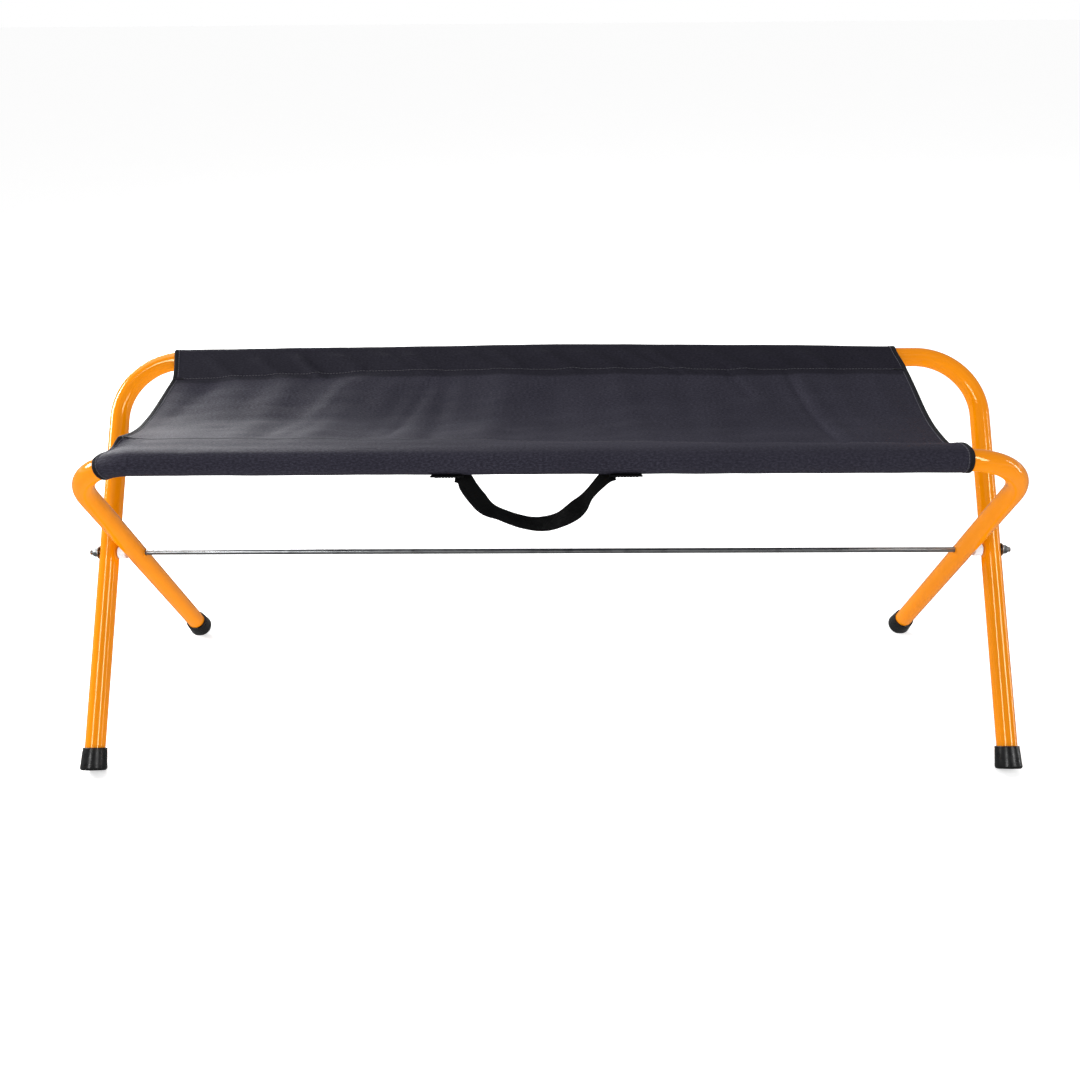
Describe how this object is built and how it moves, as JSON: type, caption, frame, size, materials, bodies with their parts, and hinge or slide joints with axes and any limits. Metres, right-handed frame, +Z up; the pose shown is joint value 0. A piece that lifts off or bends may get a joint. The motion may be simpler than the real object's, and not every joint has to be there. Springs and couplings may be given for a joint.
{
  "type": "folding camp bench",
  "caption": "Folding bench: crossed U-shaped steel tube frames on a long pivot rod, a sling seat sleeved over both top rails and a webbing carry handle.",
  "frame": {"origin": "on the floor, under the middle of the pivot rod, at the bottom centre of the bounding box", "axes": "+X along the seat to the right, +Y to the back (the higher rail), +Z up"},
  "size_m": [1.072, 0.3252, 0.4015],
  "materials": {
    "orange_powder_coat": "gloss",
    "black_rubber": "satin",
    "zinc_steel": "bright zinc",
    "white_nylon": "satin",
    "charcoal_fabric": "woven polyester",
    "black_webbing": "ribbed webbing"
  },
  "bodies": {
    "outer_frame": {"outer_frame_tube": "orange_powder_coat", "foot_cap_front_left": "black_rubber", "foot_cap_front_right": "black_rubber", "seat_sleeve_rear": "charcoal_fabric", "pivot_rod": "zinc_steel", "spacer_left": "white_nylon", "spacer_right": "white_nylon", "washer_left": "zinc_steel", "washer_right": "zinc_steel", "lock_nut_left": "zinc_steel", "lock_nut_right": "zinc_steel"},
    "inner_frame": {"inner_frame_tube": "orange_powder_coat", "foot_cap_rear_left": "black_rubber", "foot_cap_rear_right": "black_rubber", "seat_sleeve_front": "charcoal_fabric", "strap_end_left": "black_webbing", "strap_end_right": "black_webbing"},
    "seat_rear": {"seat_panel_rear": "charcoal_fabric"},
    "seat_front": {"seat_panel_front": "charcoal_fabric"},
    "handle": {"carry_handle": "black_webbing"}
  },
  "joints": [
    {"name": "fold", "type": "hinge", "parent": "outer_frame", "child": "inner_frame", "pos_m": [0, 0, 0.20309], "axis": [-1, 0, 0], "range_deg": [0, 69]},
    {"name": "seat_rear_fold", "type": "hinge", "parent": "outer_frame", "child": "seat_rear", "pos_m": [0, 0.14418, 0.38928], "axis": [1, 0, 0], "range_deg": [0, 47.1], "deforming": ["seat_panel_rear"]},
    {"name": "seat_front_fold", "type": "hinge", "parent": "inner_frame", "child": "seat_front", "pos_m": [0, -0.12948, 0.3703], "axis": [-1, 0, 0], "range_deg": [0, 53.4], "deforming": ["seat_panel_front"]},
    {"name": "handle_swing", "type": "hinge", "parent": "inner_frame", "child": "handle", "pos_m": [-0.012, -0.12948, 0.3568], "axis": [1, 0, 0], "range_deg": [-70, 70], "deforming": ["carry_handle"]}
  ],
  "couplings": [
    {"joint": "seat_rear_fold", "follows": "fold", "ratio": 0.681},
    {"joint": "seat_front_fold", "follows": "fold", "ratio": 0.772}
  ]
}
